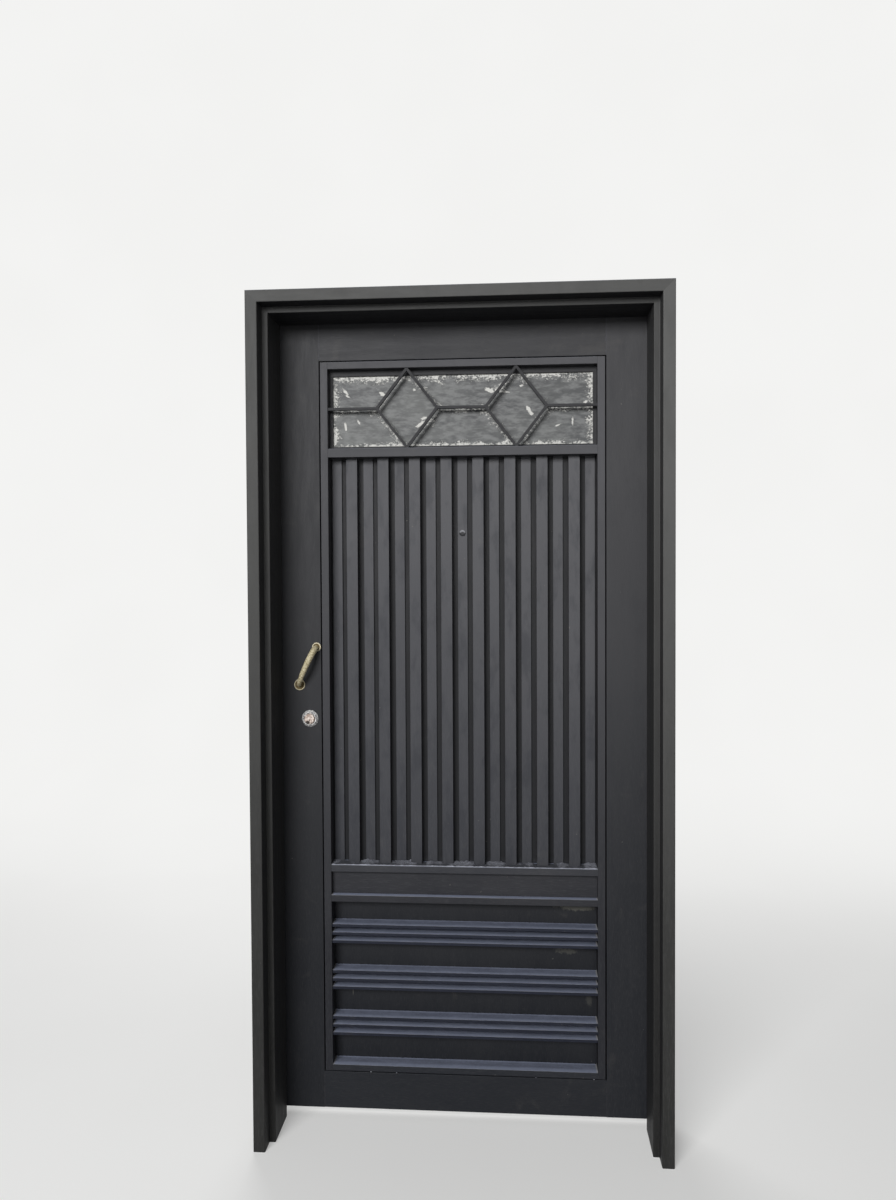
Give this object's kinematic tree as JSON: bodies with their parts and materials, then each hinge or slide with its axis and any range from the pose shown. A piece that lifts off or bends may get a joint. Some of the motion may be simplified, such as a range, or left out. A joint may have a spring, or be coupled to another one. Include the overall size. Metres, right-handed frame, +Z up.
{
  "type": "front door with frame",
  "caption": "Steel front door in a folded steel frame, with vertical battens, cross ribs, a glazed fanlight with diamond grilles, a bow handle and a rim lock.",
  "frame": {"origin": "middle of the bottom of the bounding box, level with the jamb feet", "axes": "+Z up along the jambs, +Y from the street into the house, +X to the right as seen from the street"},
  "size_m": [1, 0.25, 2.058],
  "materials": {
    "frame_paint": "weathered satin paint",
    "leaf_paint": "dusty dark satin paint",
    "lock_enamel": "baked enamel",
    "bare_steel": "zinc plated",
    "worn_brass": "worn, pale",
    "viewer_brass": "dull",
    "nickel": "warm nickel, worn",
    "window_glass": "dusty clear glass",
    "lens_glass": "clear lens"
  },
  "bodies": {
    "frame": {"left_jamb": "frame_paint", "right_jamb": "frame_paint", "head_jamb": "frame_paint", "left_tie_straps": "bare_steel", "right_tie_straps": "bare_steel", "lock_keeper": "lock_enamel", "keeper_screws": "bare_steel", "hinge_pintle_1": "frame_paint", "hinge_pintle_2": "frame_paint", "hinge_pintle_3": "frame_paint"},
    "leaf": {"lock_stile": "leaf_paint", "hinge_stile": "leaf_paint", "top_rail": "leaf_paint", "bottom_rail": "leaf_paint", "insert_left_bar": "leaf_paint", "insert_right_bar": "leaf_paint", "insert_top_bar": "leaf_paint", "insert_bottom_bar": "leaf_paint", "transom_bar": "leaf_paint", "back_sheet": "leaf_paint", "flat_strips": "leaf_paint", "batten_1": "leaf_paint", "batten_2": "leaf_paint", "batten_3": "leaf_paint", "batten_4": "leaf_paint", "batten_5": "leaf_paint", "batten_6": "leaf_paint", "batten_7": "leaf_paint", "batten_8": "leaf_paint", "upper_crossbar": "leaf_paint", "lower_crossbar": "leaf_paint", "recessed_panel": "leaf_paint", "rib_group_1": "leaf_paint", "rib_group_2": "leaf_paint", "rib_group_3": "leaf_paint", "window_glass": "window_glass", "glazing_stops": "leaf_paint", "glazing_beads": "leaf_paint", "left_diamond": "leaf_paint", "right_diamond": "leaf_paint", "window_bars": "leaf_paint", "handle_bow": "worn_brass", "handle_rosettes": "worn_brass", "handle_studs": "bare_steel", "cylinder_ring": "nickel", "cylinder_body": "nickel", "lock_case": "lock_enamel", "lock_cover": "lock_enamel", "lock_screws": "bare_steel", "peephole_barrel": "viewer_brass", "peephole_lens": "lens_glass", "hinge_socket_1": "leaf_paint", "hinge_socket_2": "leaf_paint", "hinge_socket_3": "leaf_paint"},
    "key_spindle": {"key_plug": "nickel", "drive_pinion": "bare_steel", "thumb_turn": "nickel"},
    "bolt": {"bolt_carriage": "bare_steel", "bolts": "bare_steel"}
  },
  "joints": [
    {"name": "leaf_swing", "type": "hinge", "parent": "frame", "child": "leaf", "pos_m": [0.4725, 0.0855, 1], "axis": [0, 0, -1], "range_deg": [0, 100]},
    {"name": "key_turn", "type": "hinge", "parent": "leaf", "child": "key_spindle", "pos_m": [-0.387, 0.1, 1.0185], "axis": [0, 1, 0], "range_deg": [0, 157.6]},
    {"name": "bolt_throw", "type": "slide", "parent": "leaf", "child": "bolt", "axis": [-1, 0, 0], "range_m": [0, 0.022]}
  ],
  "couplings": [
    {"joint": "key_turn", "follows": "bolt_throw", "rad_per_m": 125}
  ]
}
